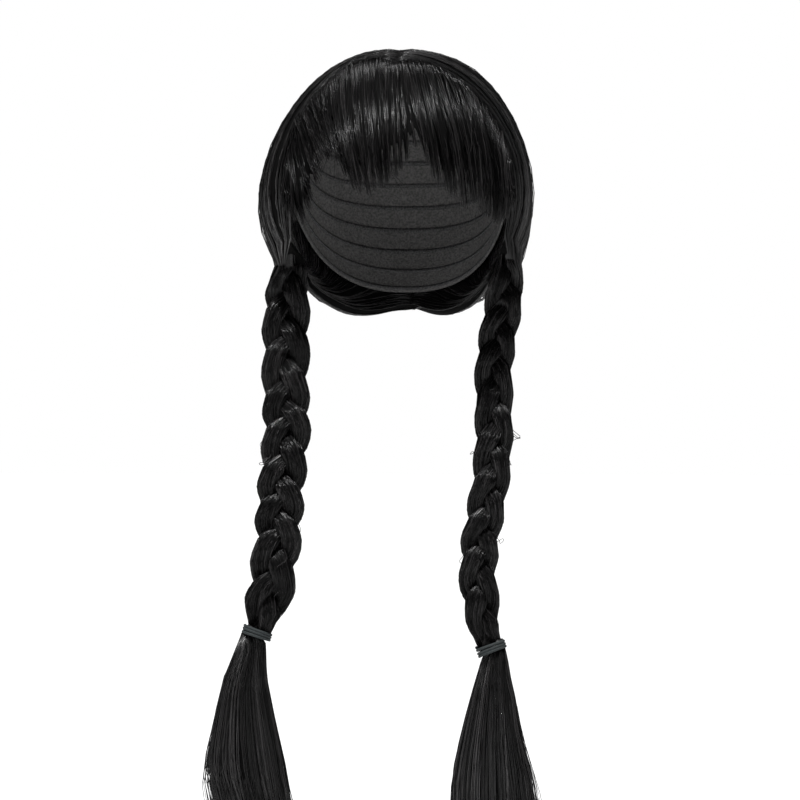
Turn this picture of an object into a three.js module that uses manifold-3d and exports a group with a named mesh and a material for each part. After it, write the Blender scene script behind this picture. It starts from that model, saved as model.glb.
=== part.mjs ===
// A costume wig of long black hair: a full fringe, a centre parting, and two plaited pigtails with loose tails.
// Units are millimetres and +Z is up. The wearer faces -Y, so +X is the wearer's left.
// The origin is the top of the head, on the inside of the cap. The wig keeps the form that it has when worn.
import * as THREE from "three";
import Module from "manifold-3d";

const wasm = await Module();
wasm.setup();

const DEGREES = Math.PI / 180;
const FULL_TURN = 2 * Math.PI;

// The head that the cap fits, as an ellipsoid whose widest level is headTop below the crown.
const headHalfWidth = 76;
const headHalfLength = 94;
const headTop = 92;

// The cap and the gaps between pieces.
const capWall = 1.4;
const layerGap = 1.5; // cap to hair
const seamGap = 0.4; // hair to hair

// How far the hair stands out from the head.
const crownDepth = 12;
const sideDepth = 21;
const backDepth = 13;
const partingShift = 3.5; // the parting lies this far to the wearer's left
const lockRelief = 0.09; // depth of the furrows between locks, as a share of the hair's depth

// The fringe.
const fringeThickness = 5.2;
const fringeLift = 3.5; // how far the tips stand off the brow
const fringeBand = 17; // width of the sewn band that the locks hang from

// The gathers behind the ears, where the plaits start.
const gatherAzimuth = 100;
const gatherPolar = 121.5;
const gatherWidth = 23;
const gatherDepth = 25;

// The elastics, each a thin cord wound round the end of a plait.
const elasticWire = 2.3;
const elasticTurns = 2.7;
const elasticPitch = 2.6;
const neckWidth = 16.5; // the plait where the elastic grips it
const neckDepth = 14;
const neckHalfLength = 5;

// The two plaits. Each has its length from gather to elastic, its size across, and its roll about its own axis.
const plaits = {
  right: { side: -1, length: 256, width: 35.5, depth: 24, roll: 0, lastTurn: 9 },
  left: { side: 1, length: 265, width: 27.5, depth: 24, roll: 14, lastTurn: 9.45 },
};
const strandGap = 0.5;
const strands = 3;

// The loose tails below the elastics.
const tailLength = 165;
const tailDepth = 24;

const strandSides = 7;
const elasticSides = 5;
const ringsPerTurn = 6;
const lookAhead = 0.55; // how much of the step to the next ring a strand makes room for

const hairMaterial = new THREE.MeshStandardMaterial({ color: 0x131316, roughness: 0.38 });
const capMaterial = new THREE.MeshStandardMaterial({ color: 0x26262a, roughness: 0.85 });
const elasticMaterial = new THREE.MeshStandardMaterial({ color: 0x353b3c, roughness: 0.7 });

// How the hair of one half flows from the parting to the gather, passing an upper and a lower place on the way.
// "at" runs from the front edge to the nape hem, and "part" is the angle along the parting from the crown towards
// the back. Azimuths are from the face and polar angles from the crown, in degrees.
const frontEdge = {
  right: { at: 0, part: -27, upperAzimuth: 60, upperPolar: 46, lowerAzimuth: 62, lowerPolar: 94 },
  left: { at: 0, part: -27, upperAzimuth: 66, upperPolar: 42, lowerAzimuth: 86, lowerPolar: 92 },
};
const flow = [
  { at: 0.25, part: 8, upperAzimuth: 88, upperPolar: 50, lowerAzimuth: 92, lowerPolar: 98 },
  { at: 0.5, part: 50, upperAzimuth: 112, upperPolar: 68, lowerAzimuth: 108, lowerPolar: 108 },
  { at: 0.75, part: 94, upperAzimuth: 134, upperPolar: 98, lowerAzimuth: 122, lowerPolar: 124 },
  { at: 1, part: 141, upperAzimuth: 158, upperPolar: 146, lowerAzimuth: 121, lowerPolar: 143 },
];
const upperShare = 0.4;
const lowerShare = 0.75;
const flowRows = [0, 0.03, 0.09, 0.19, 0.3, 0.42, 0.54, 0.66, 0.77, 0.88, 1];
const flowColumns = 21;
const locksPerHalf = 7;

// How much farther than a plain dome the hair stands out at each side, in millimetres, by polar angle.
const contour = [
  { polar: 0, right: 0, left: 0 },
  { polar: 20, right: -1, left: 0.5 },
  { polar: 35, right: -2, left: 2 },
  { polar: 55, right: -4.3, left: -0.5 },
  { polar: 75, right: -3.2, left: -2.4 },
  { polar: 90, right: 0.6, left: -1.5 },
  { polar: 105, right: 2.6, left: -2.3 },
  { polar: 125, right: 1.5, left: -1.5 },
  { polar: 180, right: 0, left: 0 },
];

// The rim of the cap, by azimuth from the face. It clears the ears and dips to the nape.
const capRim = [
  { at: 0, polar: 47 },
  { at: 45, polar: 60 },
  { at: 75, polar: 82 },
  { at: 100, polar: 92 },
  { at: 125, polar: 120 },
  { at: 150, polar: 132 },
  { at: 180, polar: 134 },
];
const capColumns = 20;
const capRows = 4;

// The locks of the fringe. "root" is the share along the band, from -1 at the wearer's right temple to 1 at the
// left. The tips are given by azimuth from the face, negative on the wearer's right, and by polar angle.
const fringeLocks = [
  { root: -1, azimuth: -51, polar: 97, width: 9 },
  { root: -0.98, azimuth: -38, polar: 103, width: 7 },
  { root: -0.86, azimuth: -33, polar: 99, width: 10 },
  { root: -0.72, azimuth: -27, polar: 87, width: 12 },
  { root: -0.58, azimuth: -21, polar: 80, width: 12 },
  { root: -0.44, azimuth: -14, polar: 84, width: 10 },
  { root: -0.31, azimuth: -9, polar: 91, width: 12 },
  { root: -0.18, azimuth: -2, polar: 91, width: 12 },
  { root: -0.06, azimuth: 4, polar: 86, width: 12 },
  { root: 0.07, azimuth: 10, polar: 81, width: 11 },
  { root: 0.2, azimuth: 18, polar: 83, width: 12 },
  { root: 0.33, azimuth: 25, polar: 88, width: 13 },
  { root: 0.47, azimuth: 33, polar: 93, width: 13 },
  { root: 0.61, azimuth: 42, polar: 96, width: 12 },
  { root: 0.76, azimuth: 52, polar: 102, width: 11 },
  { root: 0.9, azimuth: 61, polar: 99, width: 9 },
  { root: 1, azimuth: 74, polar: 95, width: 9 },
];
const bandReach = 0.62; // how far down the front edge of the hair the band runs, as a share of the flow
const bandSteps = 7;
const fringeRows = 4;

// The route of each plait below its gather: "turn" counts the notches along its outer edge, and the rest are
// shares of the plait's length, measured from the gather down, outwards and towards the front.
const routes = {
  right: [
    { turn: 0, down: 0, out: 0, forward: 0 },
    { turn: 1, down: 0.128, out: 0.009, forward: 0.035 },
    { turn: 2, down: 0.241, out: 0.004, forward: 0.078 },
    { turn: 3, down: 0.363, out: -0.001, forward: 0.121 },
    { turn: 4, down: 0.452, out: -0.009, forward: 0.152 },
    { turn: 5, down: 0.559, out: -0.003, forward: 0.184 },
    { turn: 6, down: 0.656, out: 0.002, forward: 0.205 },
    { turn: 7, down: 0.75, out: 0.007, forward: 0.219 },
    { turn: 8, down: 0.874, out: 0.023, forward: 0.2285 },
    { turn: 9, down: 1, out: 0.059, forward: 0.23 },
  ],
  left: [
    { turn: 0.2, down: 0, out: 0, forward: 0 },
    { turn: 1, down: 0.0925, out: -0.003, forward: 0.023 },
    { turn: 2, down: 0.191, out: -0.017, forward: 0.06 },
    { turn: 3, down: 0.2875, out: -0.026, forward: 0.094 },
    { turn: 4, down: 0.4064, out: -0.022, forward: 0.136 },
    { turn: 5, down: 0.5106, out: -0.023, forward: 0.17 },
    { turn: 6, down: 0.622, out: -0.035, forward: 0.196 },
    { turn: 7, down: 0.7185, out: -0.051, forward: 0.211 },
    { turn: 8, down: 0.8143, out: -0.057, forward: 0.221 },
    { turn: 9, down: 0.9347, out: -0.044, forward: 0.2226 },
    { turn: 9.45, down: 1, out: -0.024, forward: 0.2226 },
  ],
};

// The spread of each tail below its elastic, as shares of the tail's length: the outer and the inner edge, both
// measured outwards from the elastic, and how much of the tail's full depth it has there.
const spreads = {
  right: [
    { at: 0, outer: 0.045, inner: -0.045, depth: 0.6 },
    { at: 0.11, outer: 0.112, inner: -0.036, depth: 0.72 },
    { at: 0.2, outer: 0.152, inner: -0.044, depth: 0.84 },
    { at: 0.33, outer: 0.175, inner: -0.072, depth: 0.93 },
    { at: 0.47, outer: 0.214, inner: -0.106, depth: 1 },
    { at: 0.58, outer: 0.236, inner: -0.136, depth: 1 },
    { at: 0.72, outer: 0.242, inner: -0.176, depth: 0.96 },
    { at: 1, outer: 0.25, inner: -0.235, depth: 0.8 },
  ],
  left: [
    { at: 0, outer: 0.045, inner: -0.05, depth: 0.6 },
    { at: 0.07, outer: 0.072, inner: -0.062, depth: 0.7 },
    { at: 0.13, outer: 0.094, inner: -0.074, depth: 0.8 },
    { at: 0.22, outer: 0.104, inner: -0.088, depth: 0.88 },
    { at: 0.32, outer: 0.116, inner: -0.118, depth: 0.95 },
    { at: 0.42, outer: 0.146, inner: -0.142, depth: 1 },
    { at: 0.53, outer: 0.17, inner: -0.17, depth: 1 },
    { at: 0.67, outer: 0.192, inner: -0.19, depth: 0.96 },
    { at: 1, outer: 0.24, inner: -0.225, depth: 0.8 },
  ],
};

// The locks of a tail, from its inner to its outer edge: place across and front to back, as shares of the
// spread, where each ends, as a share of the tail's length, and its width, as a share of the half spread.
const tailLocks = {
  right: [
    { across: -1, layer: 0.1, end: 0.9, width: 0.3 },
    { across: -0.6, layer: -0.55, end: 0.97, width: 0.36 },
    { across: -0.45, layer: 0.55, end: 0.93, width: 0.4 },
    { across: -0.05, layer: -0.6, end: 1, width: 0.38 },
    { across: 0.1, layer: 0.6, end: 0.96, width: 0.4 },
    { across: 0.45, layer: -0.5, end: 0.94, width: 0.36 },
    { across: 0.62, layer: 0.45, end: 0.84, width: 0.36 },
    { across: 1, layer: -0.05, end: 0.66, width: 0.3 },
  ],
  left: [
    { across: -1, layer: -0.1, end: 0.88, width: 0.3 },
    { across: -0.6, layer: 0.5, end: 0.95, width: 0.36 },
    { across: -0.48, layer: -0.5, end: 0.99, width: 0.38 },
    { across: -0.08, layer: 0.6, end: 0.94, width: 0.4 },
    { across: 0.08, layer: -0.6, end: 1, width: 0.4 },
    { across: 0.5, layer: 0.5, end: 0.93, width: 0.36 },
    { across: 0.58, layer: -0.5, end: 0.97, width: 0.36 },
    { across: 1, layer: 0.1, end: 0.87, width: 0.3 },
  ],
};
const lockRows = 5;
const lockSides = 6;

const headCentre = new THREE.Vector3(0, 0, -headTop);
const underHair = capWall + layerGap;

// Small helpers

const lerp = THREE.MathUtils.lerp;
const clamp01 = (value) => THREE.MathUtils.clamp(value, 0, 1);
const ease = (from, to, value) => THREE.MathUtils.smoothstep(value, from, to);

// A table's column at a place between its rows, on a smooth curve through them.
function along(rows, column, place, key = "at") {
  const last = rows.length - 1;
  let row = 0;
  while (row < last - 1 && place > rows[row + 1][key]) row += 1;
  const slope = (a, b) => (rows[b][column] - rows[a][column]) / (rows[b][key] - rows[a][key]);
  const span = rows[row + 1][key] - rows[row][key];
  const share = clamp01((place - rows[row][key]) / span);
  const before = slope(Math.max(row - 1, 0), row + 1) * span;
  const after = slope(row, Math.min(row + 2, last)) * span;
  const s2 = share * share;
  const s3 = s2 * share;
  return (
    (2 * s3 - 3 * s2 + 1) * rows[row][column] +
    (s3 - 2 * s2 + share) * before +
    (3 * s2 - 2 * s3) * rows[row + 1][column] +
    (s3 - s2) * after
  );
}

// A closed solid through rings of points. A ring's second half runs back along its first, which closes the ends.
function loft(rings) {
  const count = rings[0].length;
  const points = rings.flat();
  const triangles = [];
  for (let ring = 0; ring < rings.length - 1; ring += 1)
    for (let i = 0; i < count; i += 1) {
      const a = ring * count + i;
      const b = ring * count + ((i + 1) % count);
      triangles.push(a, b, b + count, a, b + count, a + count);
    }
  const base = (rings.length - 1) * count;
  for (let i = 0, far = count - 1; i < far - 1; i += 1, far -= 1) {
    triangles.push(i, far, far - 1);
    triangles.push(base + i, base + far - 1, base + far);
    if (far - 1 === i + 1) break;
    triangles.push(i, far - 1, i + 1);
    triangles.push(base + i, base + i + 1, base + far - 1);
  }
  const build = (order) =>
    new wasm.Manifold(
      new wasm.Mesh({
        numProp: 3,
        vertProperties: new Float32Array(points.flatMap((point) => point.toArray())),
        triVerts: new Uint32Array(order),
      }),
    );
  const solid = build(triangles);
  return solid.volume() > 0 ? solid : build(triangles.reverse());
}

// The largest of the bodies that a cut leaves.
const mainBody = (solid) => solid.decompose().sort((a, b) => b.volume() - a.volume())[0];

function meshOf(name, solid, material) {
  const { vertProperties, triVerts } = solid.getMesh();
  const geometry = new THREE.BufferGeometry();
  geometry.setAttribute("position", new THREE.BufferAttribute(vertProperties, 3));
  geometry.setIndex(new THREE.BufferAttribute(triVerts, 1));
  geometry.computeVertexNormals();
  const mesh = new THREE.Mesh(geometry, material);
  mesh.name = name;
  return mesh;
}

// The head and the hair's outline, both seen from the head's centre

function direction(side, azimuth, polar) {
  const across = Math.sin(polar * DEGREES);
  return new THREE.Vector3(
    side * across * Math.sin(azimuth * DEGREES),
    -across * Math.cos(azimuth * DEGREES),
    Math.cos(polar * DEGREES),
  );
}

const reach = (way, halfWidth, halfLength, height) =>
  1 / Math.hypot(way.x / halfWidth, way.y / halfLength, way.z / height);
const headReach = (way) => reach(way, headHalfWidth, headHalfLength, headTop);

function hairReach(way) {
  const dome = reach(way, headHalfWidth + sideDepth, headHalfLength + backDepth, headTop + crownDepth);
  const polar = Math.acos(THREE.MathUtils.clamp(way.z, -1, 1)) / DEGREES;
  const sideways = way.x ** 2 / Math.max(1 - way.z ** 2, 0.001);
  return dome + sideways * along(contour, way.x < 0 ? "right" : "left", polar, "polar");
}

const fromCentre = (way, distance) => headCentre.clone().addScaledVector(way, distance);

// The plait's axis, and the frame across it

function gatherCentre(side) {
  const way = direction(side, gatherAzimuth, gatherPolar);
  return fromCentre(way, (headReach(way) + underHair + hairReach(way)) / 2);
}

function plaitPoint(name, turn) {
  const { side, length } = plaits[name];
  const share = (column) => along(routes[name], column, turn, "turn") * length;
  const start = gatherCentre(side);
  return start.add(new THREE.Vector3(side * share("out"), -share("forward"), -share("down")));
}

function plaitFrame(name, turn) {
  const { side, roll } = plaits[name];
  const step = 0.05;
  const rows = routes[name];
  const before = plaitPoint(name, Math.max(turn - step, rows[0].turn));
  const after = plaitPoint(name, Math.min(turn + step, rows[rows.length - 1].turn));
  const down = after.sub(before).normalize();
  const out = new THREE.Vector3(side, 0, 0).projectOnPlane(down).normalize();
  const back = new THREE.Vector3().crossVectors(out, down).multiplyScalar(side);
  if (back.y < 0) back.negate();
  const turned = roll * DEGREES;
  return {
    down,
    out: out.clone().multiplyScalar(Math.cos(turned)).addScaledVector(back, Math.sin(turned)),
    back: back.clone().multiplyScalar(Math.cos(turned)).addScaledVector(out, -Math.sin(turned)),
  };
}

// The cap: a thin dome, open below, that all the hair is sewn to

function capRing(inner, share) {
  const ring = [];
  for (let i = 0; i < capColumns; i += 1) {
    const azimuth = (360 * i) / capColumns;
    const rim = along(capRim, "polar", azimuth > 180 ? 360 - azimuth : azimuth);
    const way = direction(1, azimuth, rim * share);
    ring.push(fromCentre(way, headReach(way) + (inner ? 0 : capWall)));
  }
  return ring;
}

function cap() {
  const shares = Array.from({ length: capRows + 1 }, (_, i) => lerp(0.06, 1, i / capRows));
  const outer = shares.map((share) => capRing(false, share));
  const inner = shares.map((share) => capRing(true, share));
  return loft([...outer, ...inner.reverse()]);
}

// The hair of one half: a deep sheet that runs from the parting, round the head, into the gather

function gatherRing(side, around, inner) {
  const name = side < 0 ? "right" : "left";
  const { out, back } = plaitFrame(name, routes[name][0].turn);
  const angle = Math.PI * lerp(0.06, 0.94, around);
  return gatherCentre(side)
    .addScaledVector(out, (inner ? -0.5 : 0.5) * gatherWidth * Math.sin(angle))
    .addScaledVector(back, -0.5 * gatherDepth * Math.cos(angle));
}

// A direction on a smooth path through four others, of which the first is at share 0 and the last at share 1.
function pathWay(ways, share) {
  const places = [0, upperShare, lowerShare, 1];
  const mixed = new THREE.Vector3();
  places.forEach((place, i) => {
    const others = places.filter((_, k) => k !== i);
    const weight = others.reduce((product, other) => (product * (share - other)) / (place - other), 1);
    mixed.addScaledVector(ways[i], weight);
  });
  return mixed.normalize();
}

function flowWay(side, share, around) {
  const rows = [frontEdge[side < 0 ? "right" : "left"], ...flow];
  const look = (column) => along(rows, column, around);
  const part = look("part") * DEGREES;
  const aside = (partingShift + (side * seamGap) / 2) / headTop;
  const ways = [
    new THREE.Vector3(aside, Math.sin(part), Math.cos(part)).normalize(),
    direction(side, look("upperAzimuth"), look("upperPolar")),
    direction(side, look("lowerAzimuth"), look("lowerPolar")),
    gatherRing(side, around, false).lerp(gatherRing(side, around, true), 0.5).sub(headCentre).normalize(),
  ];
  return pathWay(ways, share);
}

// How full the hair is: it dips at the parting, rounds off at both edges, and is furrowed between its locks.
function fullness(share, around) {
  const atParting = lerp(0.74, 1, Math.sqrt(ease(0, 0.1, share)));
  const atFront = lerp(0.55, 1, Math.sqrt(ease(0, 0.09, around)));
  const atHem = lerp(0.6, 1, Math.sqrt(ease(0, 0.1, 1 - around)));
  const furrow = 1 - Math.abs(Math.sin(Math.PI * locksPerHalf * around));
  return atParting * atFront * atHem * (1 - lockRelief * furrow * ease(0, 0.25, share));
}

function hairPoint(side, share, around, inner) {
  const way = flowWay(side, share, around);
  const from = headReach(way) + underHair;
  const depth = inner ? 0 : (hairReach(way) - from) * fullness(share, around);
  const onHead = fromCentre(way, from + depth);
  return onHead.lerp(gatherRing(side, around, inner), ease(0.7, 1, share));
}

function hairHalf(side) {
  const columns = Array.from({ length: flowColumns + 1 }, (_, i) => i / flowColumns);
  return loft(
    flowRows.map((share) => [
      ...columns.map((around) => hairPoint(side, share, around, false)),
      ...columns.toReversed().map((around) => hairPoint(side, share, around, true)),
    ]),
  );
}

// The fringe: locks fused to a band along the front edge of the hair

// A place on the band: root from -1 to 1 across the head, and forward in millimetres from the hair's edge.
function bandWay(root, forward) {
  const side = root < 0 ? -1 : 1;
  const edge = flowWay(side, Math.abs(root) * bandReach, 0);
  const centred = lerp(flowWay(-side, 0, 0).x, edge.x, 0.5);
  if (root === 0) edge.x = centred;
  edge.y -= forward / headHalfLength;
  return edge.normalize();
}

function fringeBandSolid() {
  const rings = [];
  for (let i = -bandSteps; i <= bandSteps; i += 1) {
    const root = i / bandSteps;
    const thin = lerp(1, 0.6, Math.abs(root));
    const place = (forward, raise) => {
      const way = bandWay(root, forward);
      return fromCentre(way, headReach(way) + underHair + raise * thin);
    };
    const near = layerGap + seamGap;
    rings.push([
      place(near, 0.15 * fringeThickness),
      place(near, 0.8 * fringeThickness),
      place(fringeBand, fringeThickness),
      place(fringeBand, 0),
    ]);
  }
  return loft(rings);
}

function fringeLock({ root, azimuth, polar, width }) {
  const start = bandWay(root, fringeBand * 0.6);
  const tip = direction(1, azimuth, polar);
  const bend = start.clone().lerp(tip, 0.45);
  bend.y -= 0.16;
  const wayAt = (s) =>
    start
      .clone()
      .multiplyScalar((1 - s) ** 2)
      .addScaledVector(bend, 2 * s * (1 - s))
      .addScaledVector(tip, s ** 2)
      .normalize();
  const rings = [];
  for (let row = 0; row <= fringeRows; row += 1) {
    const s = row / fringeRows;
    const way = wayAt(s);
    const heading = wayAt(Math.min(s + 0.02, 1)).sub(wayAt(Math.max(s - 0.02, 0)));
    const sideways = new THREE.Vector3().crossVectors(way, heading).normalize();
    const taper = Math.sqrt(1 - 0.96 * ease(0.35, 1.02, s));
    const half = width * taper * lerp(0.8, 1, ease(0, 0.4, s));
    const thick = (fringeThickness / 2) * lerp(0.92, 1, s) * Math.max(taper, 0.25);
    const lift = fringeLift * ease(0.3, 1, s);
    const middle = headReach(way) + underHair + fringeThickness / 2 + lift;
    const ring = [];
    for (let i = 0; i < lockSides; i += 1) {
      const angle = (FULL_TURN * i) / lockSides;
      const point = fromCentre(way, middle + thick * Math.sin(angle) * 0.98);
      ring.push(point.addScaledVector(sideways, half * Math.cos(angle)));
    }
    rings.push(ring);
  }
  return loft(rings);
}

function fringe(hairHalves) {
  const locks = fringeLocks.map(fringeLock);
  const fused = wasm.Manifold.union([fringeBandSolid(), ...locks]);
  return mainBody(hairHalves.reduce((left, half) => left.subtract(half), fused));
}

// The plaits: three strands each, cut along the lines where they press on each other

// How far the plait has opened out from the gather, and not yet drawn in to the elastic, from 0 to 1.
function opened(name, turn) {
  const first = routes[name][0].turn;
  const neck = plaits[name].lastTurn - 0.2;
  const closing = clamp01((turn - (neck - 0.95)) / 0.95);
  return Math.min(ease(first, first + 0.9, turn), 1 - closing ** 3);
}

// Where the middle of a strand lies in the plait's cross-section, from -1 to 1 each way.
function strandPlace(turn, strand) {
  const phase = (FULL_TURN / strands) * (turn - strand) + Math.PI / 3;
  return { out: Math.cos(phase), back: Math.sin(2 * phase) };
}

function plaitSize(name, turn) {
  const { width, depth, lastTurn } = plaits[name];
  const atStart = turn < lastTurn / 2;
  const open = opened(name, turn);
  return {
    open,
    halfWidth: lerp(atStart ? gatherWidth : neckWidth, width, open) / 2,
    halfDepth: lerp(atStart ? gatherDepth : neckDepth, depth, open) / 2,
  };
}

// The distance from a point inside an ellipse to its edge, along a unit direction.
function toEllipse(from, way, halfWidth, halfDepth) {
  const a = (way.x / halfWidth) ** 2 + (way.y / halfDepth) ** 2;
  const b = (from.x * way.x) / halfWidth ** 2 + (from.y * way.y) / halfDepth ** 2;
  const c = (from.x / halfWidth) ** 2 + (from.y / halfDepth) ** 2 - 1;
  return (Math.sqrt(Math.max(b * b - a * c, 0)) - b) / a;
}

// How far a strand reaches towards the others before it meets them, looking a little way up and down the plait.
function pressedReach(turn, strand, way, swing, weave) {
  let distance = Infinity;
  for (let look = -2; look <= 2; look += 1) {
    const middles = Array.from({ length: strands }, (_, k) => {
      const { out, back } = strandPlace(turn + (look * lookAhead) / ringsPerTurn / 2, strand + k);
      return new THREE.Vector2(out * swing, back * weave);
    });
    for (const other of middles.slice(1)) {
      const apart = other.sub(middles[0]);
      const facing = way.dot(apart) / apart.length();
      if (facing > 0.05) distance = Math.min(distance, (apart.length() - strandGap) / 2 / facing);
    }
  }
  return distance;
}

function strandRing(name, turn, strand) {
  const { halfWidth, halfDepth, open } = plaitSize(name, turn);
  const swing = halfWidth * 0.48 * lerp(0.8, 1, open);
  const weave = halfDepth * 0.46 * lerp(0.8, 1, open);
  const { out, back } = strandPlace(turn, strand);
  const middle = new THREE.Vector2(out * swing, back * weave);
  const frame = plaitFrame(name, turn);
  const origin = new THREE.Vector2();
  const ring = [];
  for (let i = 0; i < strandSides; i += 1) {
    const angle = (FULL_TURN * (i + 0.5)) / strandSides;
    const way = new THREE.Vector2(Math.cos(angle), Math.sin(angle));
    const distance = Math.min(
      toEllipse(origin, way, halfWidth * 0.54 + (1 - open) * 9, halfDepth * 0.66 + (1 - open) * 9),
      toEllipse(middle, way, halfWidth, halfDepth),
      pressedReach(turn, strand, way, swing, weave),
    );
    const place = middle.clone().addScaledVector(way, distance);
    ring.push(
      plaitPoint(name, turn).addScaledVector(frame.out, place.x).addScaledVector(frame.back, place.y),
    );
  }
  return ring;
}

function plaitStrand(name, strand) {
  const first = routes[name][0].turn;
  const last = plaits[name].lastTurn;
  const count = Math.ceil((last - first) * ringsPerTurn);
  const rings = [];
  for (let i = 0; i <= count; i += 1) rings.push(strandRing(name, lerp(first, last, i / count), strand));
  const start = plaitFrame(name, first).down.multiplyScalar(seamGap);
  rings[0].forEach((point) => point.add(start));
  return loft(rings);
}

// The elastics: a cord wound round the neck of the plait

function elastic(name) {
  const { lastTurn } = plaits[name];
  const centre = plaitPoint(name, lastTurn);
  const { down, out, back } = plaitFrame(name, lastTurn);
  const stand = layerGap / 2 + elasticWire / 2;
  const steps = Math.round(elasticTurns * 12);
  const rings = [];
  for (let i = 0; i <= steps; i += 1) {
    const wound = lerp(-0.5, 0.5, i / steps) * elasticTurns;
    const angle = FULL_TURN * wound;
    const outwards = out.clone().multiplyScalar(Math.cos(angle)).addScaledVector(back, Math.sin(angle));
    const middle = centre
      .clone()
      .addScaledVector(out, (neckWidth / 2 + stand) * Math.cos(angle))
      .addScaledVector(back, (neckDepth / 2 + stand) * Math.sin(angle))
      .addScaledVector(down, elasticPitch * wound);
    const ring = [];
    for (let k = 0; k < elasticSides; k += 1) {
      const around = (FULL_TURN * k) / elasticSides;
      ring.push(
        middle
          .clone()
          .addScaledVector(outwards, (elasticWire / 2) * Math.cos(around))
          .addScaledVector(down, (elasticWire / 2) * Math.sin(around)),
      );
    }
    rings.push(ring);
  }
  return loft(rings);
}

// The tails: locks fused to a head that fills the lower half of the elastic

function tailPoint(name, share, across, layer) {
  const { side, lastTurn } = plaits[name];
  const { down } = plaitFrame(name, lastTurn);
  const spread = spreads[name];
  const outer = along(spread, "outer", share) * tailLength;
  const inner = along(spread, "inner", share) * tailLength;
  const offset = (outer + inner) / 2 + (across * (outer - inner)) / 2;
  const back = (layer * along(spread, "depth", share) * tailDepth) / 2;
  const start = plaitPoint(name, lastTurn).addScaledVector(down, seamGap);
  return start.add(new THREE.Vector3(side * offset, back, -share * tailLength));
}

function tailLock(name, { across, layer, end, width }) {
  const { back } = plaitFrame(name, plaits[name].lastTurn);
  const sideways = new THREE.Vector3(plaits[name].side, 0, 0);
  const rings = [];
  for (let row = 0; row <= lockRows; row += 1) {
    const s = row / lockRows;
    const share = lerp(0.02, end, s);
    const start = ease(-0.25, 0.2, s);
    const middle = tailPoint(name, share, across * (1 - width * 0.9) * start, layer * start);
    const taper = start * Math.sqrt(1 - 0.97 * ease(0.45, 1.02, s));
    const halfSpread = ((along(spreads[name], "outer", share) - along(spreads[name], "inner", share)) / 2) * tailLength;
    const ring = [];
    for (let i = 0; i < lockSides; i += 1) {
      const angle = (FULL_TURN * i) / lockSides;
      ring.push(
        middle
          .clone()
          .addScaledVector(sideways, halfSpread * width * taper * Math.cos(angle))
          .addScaledVector(back, tailDepth * 0.24 * taper * Math.sin(angle)),
      );
    }
    rings.push(ring);
  }
  return loft(rings);
}

function tailHead(name) {
  const { lastTurn } = plaits[name];
  const { down, out, back } = plaitFrame(name, lastTurn);
  const start = plaitPoint(name, lastTurn).addScaledVector(down, seamGap);
  const sizes = [
    { at: 0, width: 1 },
    { at: neckHalfLength, width: 1 },
    { at: neckHalfLength * 3, width: 1.35 },
  ];
  return loft(
    sizes.map(({ at, width }) => {
      const ring = [];
      for (let i = 0; i < 2 * lockSides; i += 1) {
        const angle = (FULL_TURN * i) / (2 * lockSides);
        ring.push(
          start
            .clone()
            .addScaledVector(down, at)
            .addScaledVector(out, (neckWidth / 2) * width * Math.cos(angle))
            .addScaledVector(back, (neckDepth / 2) * width * Math.sin(angle)),
        );
      }
      return ring;
    }),
  );
}

function tail(name) {
  const locks = tailLocks[name].map((row) => tailLock(name, row));
  return mainBody(wasm.Manifold.union([tailHead(name), ...locks]));
}

// The wig

const wig = new THREE.Group();
wig.add(meshOf("cap", cap(), capMaterial));
const halves = { right: hairHalf(-1), left: hairHalf(1) };
wig.add(meshOf("fringe", fringe(Object.values(halves)), hairMaterial));
for (const name of ["right", "left"]) {
  wig.add(meshOf(`hair_${name}`, halves[name], hairMaterial));
  for (let strand = 0; strand < strands; strand += 1)
    wig.add(meshOf(`plait_${name}_strand_${strand + 1}`, plaitStrand(name, strand), hairMaterial));
  wig.add(meshOf(`elastic_${name}`, elastic(name), elasticMaterial));
  wig.add(meshOf(`tail_${name}`, tail(name), hairMaterial));
}

export default wig;
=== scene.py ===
"""The looks of a long black wig with a fringe and two plaited pigtails. Every length is in metres."""

import math

import bpy
import numpy as np
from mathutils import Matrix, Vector
from mathutils.bvhtree import BVHTree


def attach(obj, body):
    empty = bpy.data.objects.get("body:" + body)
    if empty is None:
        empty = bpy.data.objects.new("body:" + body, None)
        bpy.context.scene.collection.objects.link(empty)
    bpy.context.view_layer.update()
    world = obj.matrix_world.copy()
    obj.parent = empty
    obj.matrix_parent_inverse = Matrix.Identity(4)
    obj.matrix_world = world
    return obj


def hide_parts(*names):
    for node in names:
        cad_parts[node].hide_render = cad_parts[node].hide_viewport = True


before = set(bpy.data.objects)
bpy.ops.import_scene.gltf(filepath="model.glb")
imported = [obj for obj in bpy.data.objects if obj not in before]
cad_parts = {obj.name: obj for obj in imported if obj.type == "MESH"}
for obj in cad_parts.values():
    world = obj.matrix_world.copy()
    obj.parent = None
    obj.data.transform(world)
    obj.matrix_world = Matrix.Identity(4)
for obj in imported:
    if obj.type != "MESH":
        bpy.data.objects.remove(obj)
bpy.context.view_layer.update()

MM = 0.001
SIDES = {"right": -1, "left": 1}
STRANDS = (1, 2, 3)

# The head that the wig sits on: half its width, half its length, and the drop from its top to its
# widest level.
HEAD = np.array([76, 94, 92]) * MM
CENTRE = np.array([0, 0, -HEAD[2]])
UNDER_HAIR = 2.9 * MM
CAP_CLEARANCE = 3.2 * MM
FRINGE_THICKNESS = 5.2 * MM
FRINGE_LIFT = 3.5 * MM  # how much further off the head the tips lie than the roots
FRINGE_LOCKS = 56

# The radius of a fibre, how many streaks lie across an underlayer, and the one tone of a solid.
FIBRE = 0.24 * MM
STREAKS = 40
SOLID_TONE = 0.2

# How much wider than its CAD node a strand is laid, and how deep its underlayer lies in it.
STRAND_SPREAD = 1.24
STRAND_SKIN = 0.08

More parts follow.
